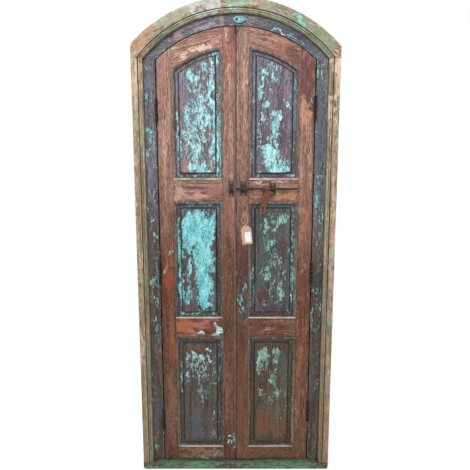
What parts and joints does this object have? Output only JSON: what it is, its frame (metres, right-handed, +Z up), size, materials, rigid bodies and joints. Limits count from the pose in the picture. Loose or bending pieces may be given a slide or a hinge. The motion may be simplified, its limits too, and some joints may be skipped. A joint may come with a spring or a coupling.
{
  "type": "wooden door",
  "caption": "Arched wooden double door with raised panels, hung on butt hinges in a moulded frame, with a sliding bolt, hasp and turn button.",
  "frame": {"origin": "middle of the sill's underside, halfway between the casing's front and the frame's back", "axes": "+X to the right as seen from the front, +Y to the back, +Z up; the front faces -Y"},
  "size_m": [0.89, 0.0905, 2.14],
  "materials": {
    "casing_wood": "weathered tan timber, dry and matt",
    "frame_wood": "worn dark blue-grey paint on timber",
    "sill_wood": "worn green paint on timber",
    "leaf_wood": "bare reddish-brown timber with old paint in the grain",
    "panel_wood": "flaking turquoise paint over dark brown timber",
    "bead_wood": "dark worn timber with traces of green paint",
    "dark_iron": "dark forged iron",
    "rusty_iron": "rusty forged iron",
    "button_wood": "pale blue paint on carved timber",
    "tag_paper": "plain kraft card",
    "string_cotton": "natural cotton string"
  },
  "bodies": {
    "frame": {"sill": "sill_wood", "jamb_left": "frame_wood", "jamb_right": "frame_wood", "arch_head_left": "frame_wood", "arch_head_right": "frame_wood", "casing_left": "casing_wood", "casing_right": "casing_wood", "casing_arch_left": "casing_wood", "casing_arch_crown": "casing_wood", "casing_arch_right": "casing_wood", "frame_nails": "dark_iron", "hinge_pins": "dark_iron", "turn_button_pin": "dark_iron", "left_hinge_lower_jamb_flap": "dark_iron", "left_hinge_middle_jamb_flap": "dark_iron", "left_hinge_upper_jamb_flap": "dark_iron", "right_hinge_lower_jamb_flap": "dark_iron", "right_hinge_middle_jamb_flap": "dark_iron", "right_hinge_upper_jamb_flap": "dark_iron"},
    "left_leaf": {"left_hinge_stile": "leaf_wood", "left_meeting_stile": "leaf_wood", "left_top_rail": "leaf_wood", "left_lock_rail": "leaf_wood", "left_lower_rail": "leaf_wood", "left_bottom_rail": "leaf_wood", "left_top_panel": "panel_wood", "left_middle_panel": "panel_wood", "left_bottom_panel": "panel_wood", "left_top_bead": "bead_wood", "left_middle_bead": "bead_wood", "left_bottom_bead": "bead_wood", "left_hinge_lower_leaf_flap": "dark_iron", "left_hinge_middle_leaf_flap": "dark_iron", "left_hinge_upper_leaf_flap": "dark_iron", "left_leaf_nails": "dark_iron", "bolt_keeper": "dark_iron"},
    "right_leaf": {"right_hinge_stile": "leaf_wood", "right_meeting_stile": "leaf_wood", "right_top_rail": "leaf_wood", "right_lock_rail": "leaf_wood", "right_lower_rail": "leaf_wood", "right_bottom_rail": "leaf_wood", "right_top_panel": "panel_wood", "right_middle_panel": "panel_wood", "right_bottom_panel": "panel_wood", "right_top_bead": "bead_wood", "right_middle_bead": "bead_wood", "right_bottom_bead": "bead_wood", "right_hinge_lower_leaf_flap": "dark_iron", "right_hinge_middle_leaf_flap": "dark_iron", "right_hinge_upper_leaf_flap": "dark_iron", "right_leaf_nails": "dark_iron", "bolt_bracket_inner": "dark_iron", "bolt_bracket_outer": "dark_iron", "staple": "dark_iron", "hang_tag": "tag_paper", "tag_string": "string_cotton"},
    "bolt": {"bolt_rod": "dark_iron"},
    "hasp": {"hasp": "rusty_iron"},
    "turn_button": {"turn_button": "button_wood"}
  },
  "joints": [
    {"name": "left_leaf_hinge", "type": "hinge", "parent": "frame", "child": "left_leaf", "pos_m": [-0.3445, -0.0303, 0.966], "axis": [0, 0, -1], "range_deg": [0, 150]},
    {"name": "right_leaf_hinge", "type": "hinge", "parent": "frame", "child": "right_leaf", "pos_m": [0.3445, -0.0303, 0.966], "axis": [0, 0, 1], "range_deg": [0, 150]},
    {"name": "bolt_slide", "type": "slide", "parent": "right_leaf", "child": "bolt", "axis": [-1, 0, 0], "range_m": [0, 0.08]},
    {"name": "hasp_swing", "type": "hinge", "parent": "bolt", "child": "hasp", "pos_m": [0.1383, -0.038, 1.347], "axis": [-1, 0, 0], "range_deg": [-4.8, 110]},
    {"name": "turn_button_pivot", "type": "hinge", "parent": "frame", "child": "turn_button", "pos_m": [0.003, -0.03, 2.056], "axis": [0, 1, 0], "range_deg": [0, 180]}
  ]
}
